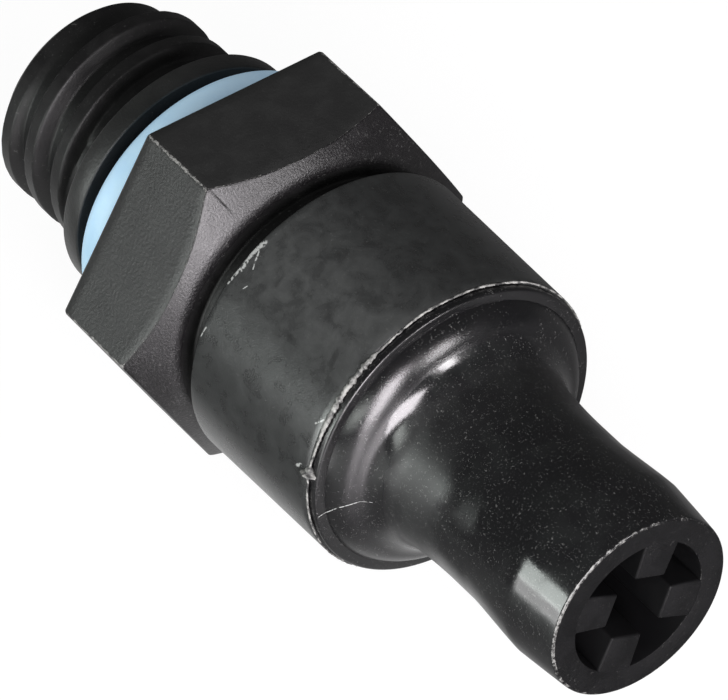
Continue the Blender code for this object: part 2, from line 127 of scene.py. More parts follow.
# %% Spinning an outline
def spun(outline, steps):
    """Spins a closed outline of (along, radius) points. Each vertex keeps its point's number."""
    bm = bmesh.new()
    number = bm.verts.layers.int.new("number")
    verts = []
    for index, (along, radius) in enumerate(outline):
        vert = bm.verts.new(place(along, radius, 0.0))
        vert[number] = index
        verts.append(vert)
    for first, second in zip(verts, verts[1:] + verts[:1]):
        bm.edges.new((first, second))
    bmesh.ops.spin(
        bm,
        geom=bm.verts[:] + bm.edges[:],
        cent=(0.0, 0.0, 0.0),
        axis=(1.0, 0.0, 0.0),
        angle=2 * pi,
        steps=steps,
        use_merge=True,
    )
    bmesh.ops.recalc_face_normals(bm, faces=bm.faces)
    return bm, number


def arc(centre_along, centre_radius, size, start, end, steps):
    """Outline points along an arc. Its angles are in degrees from the nipple's direction."""
    points = []
    for step in range(steps + 1):
        angle = radians(start + (end - start) * step / steps)
        points.append((centre_along + size * cos(angle), centre_radius + size * sin(angle)))
    return points


def shares(count):
    """Even steps, the first just above 0 and the last at 1."""
    return [step / count for step in range(1, count + 1)]


print("a quarter turn in 4 steps has", len(arc(0.0, 1.0, 0.2, 0.0, 90.0, 4)), "points")


# %% Finishing a piece
def finished(name, bm, body, slot, materials, *nodes, sharp=40.0):
    """Makes the mesh an object that rides on a body and stands for some CAD nodes."""
    mesh = bpy.data.meshes.new(name)
    bm.to_mesh(mesh)
    bm.free()
    mesh.shade_smooth()
    mesh.set_sharp_from_angle(angle=radians(sharp))
    for material in materials:
        mesh.materials.append(material)
    piece = bpy.data.objects.new(name, mesh)
    bpy.context.scene.collection.objects.link(piece)
    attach(piece, body)
    if nodes:
        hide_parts(*nodes)
    print(f"{name}: {len(mesh.polygons)} faces")
    return piece


# %% [markdown]
# ## Effects that several finishes share
# Moulded nylon shows the same few things in different amounts: a fine grain from the mould,
# cloudy patches of dullness, pale flecks of glass fibre at the surface, edges whose nicks have
# turned whitish, and here and there a torn scratch. Pictures of plastic could show them too, but
# noise has no seam and no end. Each effect is a node group, built once, with its sizes in
# millimetres as inputs. All read object coordinates, which start at the middle of the valve.

# %% Node helpers
def add_node(tree, kind, values=None, **settings):
    """Adds a node. Each value is a number for that input, or another node's output to link."""
    made = tree.nodes.new(kind)
    for setting, value in settings.items():
        setattr(made, setting, value)
    for socket, value in (values or {}).items():
        if isinstance(value, bpy.types.NodeSocket):
            tree.links.new(value, made.inputs[socket])
        else:
            made.inputs[socket].default_value = value
    return made


def maths(tree, operation, first, second=0.0, third=0.0, clamp=False):
    values = {0: first, 1: second, 2: third}
    made = add_node(tree, "ShaderNodeMath", values, operation=operation)
    made.use_clamp = clamp
    return made.outputs[0]


def product(tree, first, *others):
    """All of some values multiplied."""
    for other in others:
        first = maths(tree, "MULTIPLY", first, other)
    return first


def vector_maths(tree, operation, first, second, result="Vector"):
    made = add_node(tree, "ShaderNodeVectorMath", {0: first, 1: second}, operation=operation)
    return made.outputs[result]


def mixed(tree, share, first, second):
    """A colour between two others."""
    made = tree.nodes.new("ShaderNodeMix")
    made.data_type = "RGBA"
    for index, value in ((0, share), (6, first), (7, second)):
        socket = made.inputs[index]
        if isinstance(value, bpy.types.NodeSocket):
            tree.links.new(value, socket)
        else:
            socket.default_value = value
    return made.outputs[2]


def stepped(tree, value, low, high):
    """0 below low, 1 above high, and smooth between."""
    made = add_node(
        tree,
        "ShaderNodeMapRange",
        {"Value": value, "From Min": low, "From Max": high},
        interpolation_type="SMOOTHSTEP",
    )
    return made.outputs["Result"]


def faded(tree, value, low, high):
    """1 below low, 0 above high, and smooth between."""
    return maths(tree, "SUBTRACT", 1.0, stepped(tree, value, low, high))


def new_material(name):
    material = bpy.data.materials.new(name)
    material.use_nodes = True
    tree = material.node_tree
    return material, tree, tree.nodes["Principled BSDF"]


def add_bump(tree, shader, height, depth):
    """Bump as deep as so many millimetres."""
    bump = add_node(tree, "ShaderNodeBump", {"Height": height, "Distance": depth * MM})
    tree.links.new(bump.outputs["Normal"], shader.inputs["Normal"])


# %% Group helpers
def new_group(name, inputs, outputs):
    """A shader node group with float inputs, and its outputs."""
    group = bpy.data.node_groups.new(name, "ShaderNodeTree")
    for label, default in inputs.items():
        socket = group.interface.new_socket(label, in_out="INPUT", socket_type="NodeSocketFloat")
        socket.default_value = default
    for label in outputs:
        group.interface.new_socket(label, in_out="OUTPUT", socket_type="NodeSocketFloat")
    given = group.nodes.new("NodeGroupInput")
    result = group.nodes.new("NodeGroupOutput")
    return group, given.outputs, result.inputs


def use_group(tree, group, **values):
    made = tree.nodes.new("ShaderNodeGroup")
    made.node_tree = group
    for label, value in values.items():
        socket = made.inputs[label.replace("_", " ")]
        if isinstance(value, bpy.types.NodeSocket):
            tree.links.new(value, socket)
        else:
            socket.default_value = value
    return made.outputs[0]


def own_place(tree):
    return add_node(tree, "ShaderNodeTexCoord").outputs["Object"]


def own_axes(tree):
    return add_node(tree, "ShaderNodeSeparateXYZ", {"Vector": own_place(tree)}).outputs


def spots(tree, size, detail, roughness=0.5, distortion=0.0):
    """A noise whose spots are so many millimetres across."""
    values = {
        "Vector": own_place(tree),
        "Scale": maths(tree, "DIVIDE", 1 / MM, size),
        "Detail": detail,
        "Roughness": roughness,
        "Distortion": distortion,
    }
    return add_node(tree, "ShaderNodeTexNoise", values).outputs["Fac"]


# %% Mould grain, clouds, flecks and nicks
def make_grain():
    """Height of a fine, even grain, such as spark erosion leaves on a mould."""
    group, given, result = new_group("mould_grain", {"Size": 0.2, "Sharpness": 0.6}, ["Height"])
    group.links.new(spots(group, given["Size"], 3.0, given["Sharpness"]), result["Height"])
    return group


def make_clouds():
    """Soft patches, some large and some small, for dullness that isn't even."""
    group, given, result = new_group(
        "cloudy_patches", {"Size": 6.0, "Low": 0.4, "High": 0.65}, ["Mask"]
    )
    cloud = spots(group, given["Size"], 7.0, roughness=0.6, distortion=0.4)
    group.links.new(stepped(group, cloud, given["Low"], given["High"]), result["Mask"])
    return group


def make_flecks():
    """Short pale marks: a fine noise, cut high, and only where a wider noise lets it through."""
    group, given, result = new_group(
        "fibre_flecks", {"Size": 0.25, "Cut": 0.62, "Patch Size": 5.0, "Spread": 0.5}, ["Mask"]
    )
    fine = spots(group, given["Size"], 2.0, roughness=0.55, distortion=1.2)
    wide = spots(group, given["Patch Size"], 2.0)
    sharp = stepped(group, fine, given["Cut"], maths(group, "ADD", given["Cut"], 0.06))
    full = maths(group, "SUBTRACT", 1.0, given["Spread"])
    patch = stepped(group, wide, maths(group, "SUBTRACT", full, 0.15), full)
    group.links.new(product(group, sharp, patch), result["Mask"])
    return group


def make_nicks():
    """Nicks on an edge: the edge's own mask, broken up by a ragged noise."""
    group, given, result = new_group(
        "nicked_edge", {"Edge": 0.0, "Size": 0.5, "Amount": 0.5}, ["Mask"]
    )
    ragged = spots(group, given["Size"], 5.0, roughness=0.75)
    reach = maths(group, "MULTIPLY_ADD", given["Edge"], given["Amount"], ragged)
    group.links.new(stepped(group, reach, 0.92, 1.08), result["Mask"])
    return group


# %% A torn scratch
MM_PER_DEGREE = 0.2
TEAR_SIZE = 0.2
TEAR_LOW = 0.36
TEAR_HIGH = 0.5


def flat_point(tree, along, degrees_round):
    """A place on a round surface, as if that surface were unrolled, in millimetres."""
    across = product(tree, degrees_round, MM_PER_DEGREE)
    return add_node(tree, "ShaderNodeCombineXYZ", {"X": along, "Y": across}).outputs[0]


def make_scratch():
    """One torn scratch on a round surface, from one place along and round it to another."""
    group, given, result = new_group(
        "torn_scratch",
        {"From Along": 0.0, "From Round": 0.0, "To Along": 1.0, "To Round": 0.0, "Width": 0.1},
        ["Mask"],
    )
    axes = own_axes(group)
    degrees_round = product(group, maths(group, "ARCTAN2", axes["Z"], axes["Y"]), 180 / pi)
    degrees_round = maths(group, "MODULO", maths(group, "ADD", degrees_round, 360.0), 360.0)
    point = flat_point(group, product(group, axes["X"], 1 / MM), degrees_round)
    start = flat_point(group, given["From Along"], given["From Round"])
    end = flat_point(group, given["To Along"], given["To Round"])
    to_point = vector_maths(group, "SUBTRACT", point, start)
    whole = vector_maths(group, "SUBTRACT", end, start)
    share = maths(
        group,
        "DIVIDE",
        vector_maths(group, "DOT_PRODUCT", to_point, whole, "Value"),
        vector_maths(group, "DOT_PRODUCT", whole, whole, "Value"),
        clamp=True,
    )
    nearest = add_node(
        group, "ShaderNodeVectorMath", {0: whole, "Scale": share}, operation="SCALE"
    ).outputs["Vector"]
    away = vector_maths(group, "DISTANCE", to_point, nearest, "Value")
    ragged = spots(group, TEAR_SIZE, 3.0)
    reach = product(group, given["Width"], ragged, 2.0)
    near = faded(group, away, product(group, reach, 0.4), reach)
    torn = stepped(group, ragged, TEAR_LOW, TEAR_HIGH)
    group.links.new(product(group, near, torn), result["Mask"])
    return group


# %% Build the effects
MOULD_GRAIN = make_grain()
CLOUDY_PATCHES = make_clouds()
FIBRE_FLECKS = make_flecks()
NICKED_EDGE = make_nicks()
TORN_SCRATCH = make_scratch()
print("effects:", sorted(group.name for group in bpy.data.node_groups))

# %% [markdown]
# ## Black nylon
# The moulding is one plastic, but the mould left each part of it different. The flats are grained,
# the barrel is hazy, the nipple is smooth with flecks. One function builds the finish, and each
# part gets its own amounts of the effects, so that all of them stay one plastic. Where an effect
# belongs to a place, such as wear on an edge, the place is painted on the mesh as an attribute.

# %% Colours and amounts that all the finishes share
NICK_AND_HIGHLIGHT_COLOUR = (0.22, 0.22, 0.21, 1.0)
FLECK_COLOUR = (0.16, 0.16, 0.155, 1.0)
RUBBED_COLOUR = (0.056, 0.058, 0.057, 1.0)
TORN_COLOUR = (0.36, 0.37, 0.36, 1.0)
NICK_SIZE = 0.45
NICK_AMOUNT = 0.55
NICK_ROUGHNESS = 0.25
NICK_HEIGHT = 1.5
DULLED_ROUGHNESS = 0.3
RUBBED_EVENLY = 0.2


def attribute(tree, name):
    return add_node(tree, "ShaderNodeAttribute", attribute_name=name).outputs["Fac"]


def scratch_marks(tree, scratches):
    """The strongest of some scratches, each with its two ends and its width."""
    torn = 0.0
    for start, end, width in scratches:
        one = use_group(
            tree,
            TORN_SCRATCH,
            From_Along=start[0],
            From_Round=start[1],
            To_Along=end[0],
            To_Round=end[1],
            Width=width,
        )
        torn = maths(tree, "MAXIMUM", torn, one)
    return torn


def nylon(
    name,
    colour,
    roughness,
    haze=(0.05, 0.055, 0.052),
    haze_size=6.0,
    haze_share=0.0,
    haze_roughness=0.15,
    haze_edges=(0.4, 0.65),
    grain_size=0.2,
    grain_depth=0.0,
    fleck_size=0.25,
    fleck_cut=0.66,
    fleck_spread=0.5,
    fleck_share=0.0,
    specular=0.5,
    scratches=(),
):
    """Black nylon. Sizes and depths are in millimetres, shares and edges run from 0 to 1."""
    material, tree, shader = new_material(name)
    clouds = use_group(
        tree, CLOUDY_PATCHES, Size=haze_size, Low=haze_edges[0], High=haze_edges[1]
    )
    flecks = use_group(
        tree, FIBRE_FLECKS, Size=fleck_size, Cut=fleck_cut, Spread=fleck_spread
    )
    nicks = use_group(
        tree, NICKED_EDGE, Edge=attribute(tree, "wear"), Size=NICK_SIZE, Amount=NICK_AMOUNT
    )
    rubbed = product(tree, attribute(tree, "rubbed"), maths(tree, "ADD", clouds, RUBBED_EVENLY))
    surface = mixed(tree, product(tree, clouds, haze_share), (*colour, 1.0), (*haze, 1.0))
    surface = mixed(tree, rubbed, surface, RUBBED_COLOUR)
    surface = mixed(tree, product(tree, flecks, fleck_share), surface, FLECK_COLOUR)
    # pale nicks on worn edges; on the thread's crests the same pale colour also paints a highlight
    surface = mixed(tree, nicks, surface, NICK_AND_HIGHLIGHT_COLOUR)
    if scratches:
        surface = mixed(tree, scratch_marks(tree, scratches), surface, TORN_COLOUR)
    tree.links.new(surface, shader.inputs["Base Color"])
    rough = maths(tree, "MULTIPLY_ADD", clouds, haze_roughness, roughness)
    rough = maths(tree, "MULTIPLY_ADD", nicks, NICK_ROUGHNESS, rough)
    dulled = attribute(tree, "dulled")
    rough = maths(tree, "MULTIPLY_ADD", dulled, DULLED_ROUGHNESS, rough, clamp=True)
    tree.links.new(rough, shader.inputs["Roughness"])
    grain = use_group(tree, MOULD_GRAIN, Size=grain_size)
    height = maths(tree, "MULTIPLY_ADD", nicks, NICK_HEIGHT, grain)
    add_bump(tree, shader, height, grain_depth)
    shader.inputs["Specular IOR Level"].default_value = specular
    return material


# %% A finish for each part of the mouldings
STEM_NYLON = nylon(
    "nylon_stem", (0.008, 0.0078, 0.008), 0.42, haze=(0.018, 0.0175, 0.0175), haze_share=0.4,
    haze_size=2.0, haze_roughness=0.05, grain_size=0.2, grain_depth=0.014, fleck_share=0.25,
    fleck_size=0.2, specular=0.3,
)
FLAT_NYLON = nylon(
    "nylon_flats", (0.018, 0.0182, 0.018), 0.42, haze=(0.034, 0.035, 0.034), haze_share=0.3,
    haze_size=2.0, haze_roughness=0.03, grain_size=0.22, grain_depth=0.03, fleck_share=0.1,
    fleck_size=0.2,
)
CHAMFER_NYLON = nylon(
    "nylon_chamfer", (0.005, 0.0045, 0.005), 0.34, haze=(0.012, 0.011, 0.012), haze_share=0.3,
    haze_size=2.0, haze_roughness=0.05, grain_size=0.16, grain_depth=0.03, fleck_share=0.3,
    fleck_size=0.2, fleck_cut=0.62,
)
# Each scratch: its start and its end, as millimetres along and degrees round, and its width.
BARREL_SCRATCHES = (
    ((-2.40, 119.0), (-2.55, 125.0), 0.22),
    ((-2.52, 124.0), (-2.40, 131.0), 0.16),
    ((-2.45, 130.0), (-2.62, 137.0), 0.12),
    ((-2.25, 122.5), (-1.70, 128.0), 0.07),
    ((-1.35, 135.0), (-1.20, 133.4), 0.05),
    ((-2.45, 154.0), (-2.60, 158.0), 0.06),
    ((8.75, 170.6), (9.10, 169.0), 0.16),
    ((9.20, 152.0), (9.70, 149.0), 0.07),
)
PARTING_LINE = (
    ((10.62, 188.4), (11.30, 184.6), 0.045),
    ((11.30, 184.6), (12.10, 181.8), 0.05),
    ((12.10, 181.8), (12.60, 182.2), 0.03),
)
BARREL_NYLON = nylon(
    "nylon_barrel", (0.014, 0.0145, 0.0145), 0.25, haze=(0.042, 0.045, 0.044), haze_share=0.65,
    haze_size=1.4, haze_roughness=0.08, grain_size=0.12, grain_depth=0.012, fleck_share=0.2,
    fleck_size=0.18, haze_edges=(0.2, 0.85), scratches=BARREL_SCRATCHES,
)
DOME_NYLON = nylon(
    "nylon_dome", (0.004, 0.004, 0.0045), 0.2, haze=(0.01, 0.01, 0.01), haze_share=0.2,
    haze_size=3.0, haze_roughness=0.05, grain_size=0.12, grain_depth=0.01, fleck_share=0.5,
    fleck_size=0.18, fleck_cut=0.645, scratches=PARTING_LINE,
)
NIPPLE_NYLON = nylon(
    "nylon_nipple", (0.006, 0.006, 0.0065), 0.12, haze=(0.016, 0.018, 0.017), haze_share=0.3,
    haze_size=3.0, haze_roughness=0.08, grain_size=0.2, grain_depth=0.0035, fleck_share=0.5,
    fleck_size=0.15, fleck_cut=0.635, fleck_spread=0.65, scratches=PARTING_LINE,
)
END_NYLON = nylon(
    "nylon_end_face", (0.003, 0.003, 0.0033), 0.42, haze=(0.007, 0.007, 0.0075), haze_share=0.5,
    haze_size=1.6, grain_size=0.2, grain_depth=0.02, fleck_share=0.2, specular=0.13,
)
BORE_NYLON = nylon(
    "nylon_bore", (0.0015, 0.0015, 0.0018), 0.5, grain_size=0.5, grain_depth=0.004, specular=0.2,
)
print("finishes:", [material.name for material in bpy.data.materials if "nylon" in material.name])

# %% [markdown]
# ## The housing: stem, hexagon and barrel in one moulding
# The real moulding is one piece from the inlet end to the barrel's rim. It could be put together
# from a screw, a prism and a tube, but then seams would show where they meet. So one blank is spun,
# with rows of points where the thread, the hexagon and its chamfer will be, and the points are
# pushed to where the mould has them. In front of the chamfer a rounded nose falls steeply into a
# dark relief groove, and the barrel begins behind that with a crisp edge.

# %% Dimensions of the housing
STEM_RADIUS = 7.0
THREAD_HEIGHT = 1.0
THREAD_PITCH = 3.0
THREAD_START = 0.95
THREAD_START_ANGLE = radians(104.0)
THREAD_TURNS = 2.6
THREAD_LAPS = 3
THREAD_FADE = 0.3
CREST_HALF_WIDTH = 0.46
ROOT_HALF_WIDTH = 1.0
FLANK_STRAIGHTNESS = 0.7
THREAD_ROW = 0.08
FLARE_START = 8.3
COLLAR_START = 10.5
COLLAR_END = 12.1
COLLAR_RADIUS = 9.37
GROOVE_RADIUS = 6.77
HEX_BACK = 17.0
HEX_FRONT = 23.6
HEX_CROWN = 1.3
HEX_FLAT = 12.0
HEX_CORNER = 0.35
HEX_EDGE = 0.12
HEX_BACK_ROUNDING = 0.22
BARREL_BASE = 27.8
BARREL_BASE_RADIUS = 11.33
BARREL_RADIUS = 11.2
BARREL_LIP = 40.38
CHAMFER_END = 25.3
CHAMFER_RADIUS = 11.43
NOSE_ROUNDING = 2.3
NOSE_FIRST_NORMAL = 35.0
NOSE_LAST_NORMAL = 10.0
NECK_START = 26.0
NECK_RADIUS = 9.6
NECK_FILLET = 0.2
GROOVE_SHADE_RADIUS = 10.35
PARTING_ANGLE = 120.0
PARTING_STEP = 0.14
PARTING_RUN = 7.0
PARTING_FROM = 0.3
PARTING_TO = 40.0
SOCKET_RADIUS = 8.6
SOCKET_FLOOR = 27.3
GUIDE_RADIUS = 4.8
MOUTH_RADIUS = 5.6
MOUTH_DEPTH = 7.0
HOUSING_STEPS = 192
CORNER_CROWDING = 0.85
print(f"hexagon {2 * HEX_FLAT:.0f} mm across its flats, barrel {2 * BARREL_RADIUS:.1f} mm wide")


# %% The hexagon and its chamfer
def hexagon_radius(angle):
    """Distance from the axis to the hexagon, whose corners are rounded, at an angle."""
    from_corner = (angle + pi / 6) % (pi / 3) - pi / 6
    centre = (HEX_FLAT - HEX_CORNER) / cos(pi / 6)
    half = atan2(HEX_CORNER * sin(pi / 6), centre + HEX_CORNER * cos(pi / 6))
    if abs(from_corner) < half:
        across = centre * sin(from_corner)
        return centre * cos(from_corner) + sqrt(HEX_CORNER**2 - across**2)
    return HEX_FLAT / cos(pi / 6 - abs(from_corner))


def hexagon_front(angle):
    """Where a flat ends. The edge is crowned, furthest forward in the middle of the flat."""
    corner = HEX_FLAT / cos(pi / 6)
    return HEX_FRONT + HEX_CROWN * (corner - hexagon_radius(angle)) / (corner - HEX_FLAT)


def chamfer_point(angle, share):
    """The chamfer is a straight cone from the front edge of a flat to the nose."""
    front, outside = hexagon_front(angle), hexagon_radius(angle)
    return front + (CHAMFER_END - front) * share, outside + (CHAMFER_RADIUS - outside) * share


def nose_points():
    """The nose rounds over from the chamfer to a steep wall, which ends in the relief groove."""
    first = radians(NOSE_FIRST_NORMAL)
    centre = (CHAMFER_END - NOSE_ROUNDING * cos(first), CHAMFER_RADIUS - NOSE_ROUNDING * sin(first))
    points = arc(*centre, NOSE_ROUNDING, NOSE_FIRST_NORMAL, NOSE_LAST_NORMAL, 8)[1:]
    points += arc(NECK_START, NECK_RADIUS + NECK_FILLET, NECK_FILLET, 180.0, 270.0, 4)
    return points


def parting_step(angle):
    """The two halves of the mould meet at one corner, and one side is a little lower there."""
    before = PARTING_ANGLE - full_degrees(angle)
    return PARTING_STEP * exp(-before / PARTING_RUN) if PARTING_FROM < before < PARTING_TO else 0.0


print(f"the hexagon reaches {hexagon_radius(0.0):.2f} mm out at its corners")


# %% The thread
def thread_height(along, angle):
    """How far the thread stands above the stem at a place on it."""
    part_turn = ((angle - THREAD_START_ANGLE) / (2 * pi)) % 1.0
    height = 0.0
    for lap in range(THREAD_LAPS):
        turn = part_turn + lap
        if turn < THREAD_TURNS:
            fade = smooth_step(min(turn, THREAD_TURNS - turn) / THREAD_FADE)
            away = abs(along - THREAD_START - THREAD_PITCH * turn)
            slope = (away - CREST_HALF_WIDTH) / (ROOT_HALF_WIDTH - CREST_HALF_WIDTH)
            straight = min(1.0, max(0.0, slope))
            soft = (1 - FLANK_STRAIGHTNESS) * smooth_step(slope)
            profile = 1 - FLANK_STRAIGHTNESS * straight - soft
            height = max(height, THREAD_HEIGHT * fade * profile)
    return height


print(f"the thread climbs {THREAD_PITCH * THREAD_TURNS:.1f} mm in {THREAD_TURNS} turns")


# %% The outline of the blank
def with_rule(rule, *points):
    return [(*point, rule) for point in points]


def housing_outline():
    """Points of the blank, each with the rule that shapes it."""
    rows = with_rule("round", (0.0, 6.0), (0.0, 6.42), (0.06, 6.56), (0.44, 6.94))
    count = round((FLARE_START - 0.55) / THREAD_ROW)
    for step in range(count + 1):
        rows.append((0.55 + (FLARE_START - 0.55) * step / count, STEM_RADIUS, "thread"))
    for share in shares(10):
        along = FLARE_START + (COLLAR_START - FLARE_START) * sqrt(share)
        rows.append((along, STEM_RADIUS + (COLLAR_RADIUS - 0.12 - STEM_RADIUS) * share**2, "round"))
    rows += with_rule(
        "round",
        (COLLAR_START + 0.05, COLLAR_RADIUS - 0.04),
        (COLLAR_START + 0.14, COLLAR_RADIUS),
        (COLLAR_START + 0.8, COLLAR_RADIUS),
        (COLLAR_END - 0.16, COLLAR_RADIUS),
        (COLLAR_END - 0.05, COLLAR_RADIUS - 0.04),
        (COLLAR_END, COLLAR_RADIUS - 0.15),
        (COLLAR_END, GROOVE_RADIUS + 0.3),
        (COLLAR_END + 0.1, GROOVE_RADIUS + 0.08),
        (COLLAR_END + 0.3, GROOVE_RADIUS),
        (HEX_BACK - 0.3, GROOVE_RADIUS),
        (HEX_BACK - 0.08, GROOVE_RADIUS + 0.08),
        (HEX_BACK, GROOVE_RADIUS + 0.3),
        (HEX_BACK, 10.5),
    )
    for inset, back in ((0.25, 0.0), (0.07, 0.06), (0.0, HEX_BACK_ROUNDING)):
        rows.append((HEX_BACK + back, -inset, "hexagon back"))
    rows += [(share, 0.0, "flat") for share in shares(10)]
    rows.append((0.0, 0.0, "front edge"))
    rows += [(share, 0.0, "chamfer") for share in (0.04, 0.12, 0.24, 0.4, 0.56, 0.7, 0.85, 1.0)]
    rows += with_rule("nose", *nose_points(), (BARREL_BASE - NECK_FILLET, NECK_RADIUS))
    rows += with_rule(
        "barrel",
        (BARREL_BASE - 0.05, NECK_RADIUS + 0.05),
        (BARREL_BASE, NECK_RADIUS + NECK_FILLET),
        (BARREL_BASE, BARREL_BASE_RADIUS - 0.09),
        (BARREL_BASE + 0.015, BARREL_BASE_RADIUS - 0.04),
        (BARREL_BASE + 0.05, BARREL_BASE_RADIUS - 0.01),
        (BARREL_BASE + 0.12, BARREL_BASE_RADIUS),
    )
    for share in shares(26):
        along = BARREL_BASE + (BARREL_LIP - 0.12 - BARREL_BASE) * share
        radius = BARREL_BASE_RADIUS + (BARREL_RADIUS - BARREL_BASE_RADIUS) * share
        rows.append((along, radius, "barrel"))
    return rows + with_rule(
        "round",
        (BARREL_LIP - 0.03, BARREL_RADIUS - 0.04),
        (BARREL_LIP, BARREL_RADIUS - 0.14),
        (BARREL_LIP, SOCKET_RADIUS),
        (SOCKET_FLOOR, SOCKET_RADIUS),
        (SOCKET_FLOOR, GUIDE_RADIUS),
        (MOUTH_DEPTH, GUIDE_RADIUS),
        (MOUTH_DEPTH, MOUTH_RADIUS),
        (0.4, MOUTH_RADIUS),
        (0.1, MOUTH_RADIUS + 0.28),
    )


def shaped(row, angle):
    """Where a point of the blank goes, as a place along the axis and a radius."""
    first, second, rule = row
    if rule == "thread":
        return first, second + thread_height(first, angle)
    if rule == "hexagon back":
        return first, hexagon_radius(angle) + second
    if rule == "flat":
        start = HEX_BACK + HEX_BACK_ROUNDING
        return start + (hexagon_front(angle) - HEX_EDGE - start) * first, hexagon_radius(angle)
    if rule == "front edge":
        return hexagon_front(angle) - 0.02, hexagon_radius(angle) - 0.025
    if rule == "chamfer":
        along, radius = chamfer_point(angle, first)
        return along, radius - parting_step(angle) * sin(pi * min(1.0, first * 1.25))
    return first, second


print("the blank's outline has", len(housing_outline()), "points")


# %% Wear is painted on the points
CORNER_REACH = 13.7
CORNER_WEAR_WIDTH = 0.22
FRONT_EDGE_WEAR = 0.95
BACK_EDGE_WEAR = 0.3
CHAMFER_WEAR = 0.6
CHAMFER_WEAR_SHARE = 0.25
RUBBED_ANGLE = 122.0
RUBBED_WIDTH = 24.0
CREST_WEAR_AND_HIGHLIGHT = 0.45
COLLAR_WEAR = 0.35


def corner_wear(row, angle):
    """Wear along the corners of the hexagon and its front and back edges."""
    share, _, rule = row
    side = CORNER_REACH * abs((angle + pi / 6) % (pi / 3) - pi / 6)
    wear = exp(-((side / CORNER_WEAR_WIDTH) ** 2))
    if rule == "front edge":
        wear = max(wear, FRONT_EDGE_WEAR)
    if rule == "chamfer":
        wear *= exp(-((share / CHAMFER_WEAR_SHARE) ** 2)) * CHAMFER_WEAR
    if rule == "hexagon back":
        wear = max(wear, BACK_EDGE_WEAR)
    return wear


def rubbing(along, angle):
    """The barrel is greyer over its front upper side, where it has been handled and rubbed."""
    across = exp(-(((full_degrees(angle) - RUBBED_ANGLE) / RUBBED_WIDTH) ** 2))
    return across * smooth_step((along - BARREL_BASE) / 0.4)


def crest_wear_and_highlight(along, angle):
    """Pale marks on the crests of the thread, most of them on the edge that faces the nipple: wear,
    and a painted highlight along that edge.
    """
    height = thread_height(along, angle)
    after = thread_height(along + 0.1, angle)
    return CREST_WEAR_AND_HIGHLIGHT * smooth_step((height - after) / 0.12) * smooth_step(height / 0.6)


print(f"wear in the middle of the rubbed place: {rubbing(BARREL_LIP, radians(RUBBED_ANGLE)):.1f}")


# %% Build the housing
HOUSING_FINISHES = [STEM_NYLON, FLAT_NYLON, CHAMFER_NYLON, BARREL_NYLON, BORE_NYLON]
INSIDE_RADIUS = 6.3


def housing_finish(rules, along, radius):
    """The finish of a face, from the rules of its corners and from its place."""
    if radius < INSIDE_RADIUS or (radius < SOCKET_RADIUS + 0.05 and along > HEX_FRONT):
        return BORE_NYLON
    if rules & {"hexagon back", "flat"}:
        return FLAT_NYLON
    if along < COLLAR_END and radius > COLLAR_RADIUS - 0.2:
        return FLAT_NYLON
    if rules == {"nose"} and radius < GROOVE_SHADE_RADIUS:
        return STEM_NYLON
    if rules & {"front edge", "chamfer", "nose"} and "barrel" not in rules:
        return CHAMFER_NYLON
    return BARREL_NYLON if along > HEX_FRONT else STEM_NYLON


def build_housing():
    rows = housing_outline()
    moved_later = {"hexagon back", "flat", "front edge", "chamfer"}
    blank = [shaped(row, 0.0) if row[2] in moved_later else row[:2] for row in rows]
    bm, number = spun(blank, HOUSING_STEPS)
    wear = bm.verts.layers.float.new("wear")
    rubbed = bm.verts.layers.float.new("rubbed")
    for vert in bm.verts:
        row = rows[vert[number]]
        turned = numbers_of(vert.co)[2]
        angle = turned - CORNER_CROWDING * sin(6 * turned) / 6
        along, radius = shaped(row, angle)
        vert.co = place(along, radius, angle)
        if row[2] in moved_later:
            vert[wear] = corner_wear(row, angle)
        elif row[2] == "thread":
            # pale marks on the crests: wear, and a painted highlight on the edges that face the
            # nipple
            vert[wear] = crest_wear_and_highlight(along, angle)
        elif row[2] == "barrel":
            vert[rubbed] = rubbing(along, angle)
        elif COLLAR_END - 0.2 < along < COLLAR_END and radius > COLLAR_RADIUS - 0.3:
            vert[wear] = COLLAR_WEAR
    for face in bm.faces:
        rules = {rows[vert[number]][2] for vert in face.verts}
        along, radius, _ = numbers_of(face.calc_center_median())
        face.material_index = HOUSING_FINISHES.index(housing_finish(rules, along, radius))
    bm.verts.layers.int.remove(number)
    return finished(
        "housing_moulding",
        bm,
        "valve_body",
        "black_nylon",
        HOUSING_FINISHES,
        "valve_housing",
        sharp=50.0,
    )


build_housing()

# %% [markdown]
# ## The nipple
# The nipple is a second moulding, welded into the barrel. Its rim closes the barrel, a low dome
# slopes down, a wide fillet with a long shallow foot carries it to the hose tube, and the tube
# flares to a barb near its end. All that is one outline, spun. Four ribs stand in the mouth. A
# spin can't make those, so each is a block with bevelled edges, sunk in the wall.

# %% Dimensions of the nipple
RIM_START = 40.42
RIM_FACE = 41.1
RIM_RADIUS = 10.98
RIM_ROUNDING = 0.18
SPIGOT_START = 29.9
SPIGOT_RADIUS = 8.3
SPIGOT_BORE = 6.7
DOME_RADIUS = 10.2
DOME_ROUNDING = 2.7
DOME_FIRST_NORMAL = 65.0
DOME_LAST_NORMAL = 25.0
DOME_END = 42.6
NIPPLE_FILLET = 3.0
FOOT_ANGLE = 7.0
FOOT_LENGTH = 4.5
NIPPLE_RADIUS = 6.83
FLARE_BEGINS = 51.5
BARB_PLACE = 56.6
BARB_RADIUS = 7.23
BARB_SOFTNESS = 0.35
BARB_BOW = 0.08
NIPPLE_END_RADIUS = 6.87
NIPPLE_BORE = 5.0
THROAT_START = 41.4
THROAT_END = 44.6
RIB_ANGLES = (68.0, 158.0, 248.0, 338.0)
RIB_TIP_RADIUS = 2.27
RIB_TIP_WIDTH = 2.55
RIB_ROOT_WIDTH = 2.9
RIB_ROOT_RADIUS = 5.9
RIB_LENGTH = 12.0
RIB_RECESS = 0.015
NIPPLE_STEPS = 160
print(f"nipple {2 * NIPPLE_RADIUS:.2f} mm wide, barb {2 * BARB_RADIUS:.2f} mm")


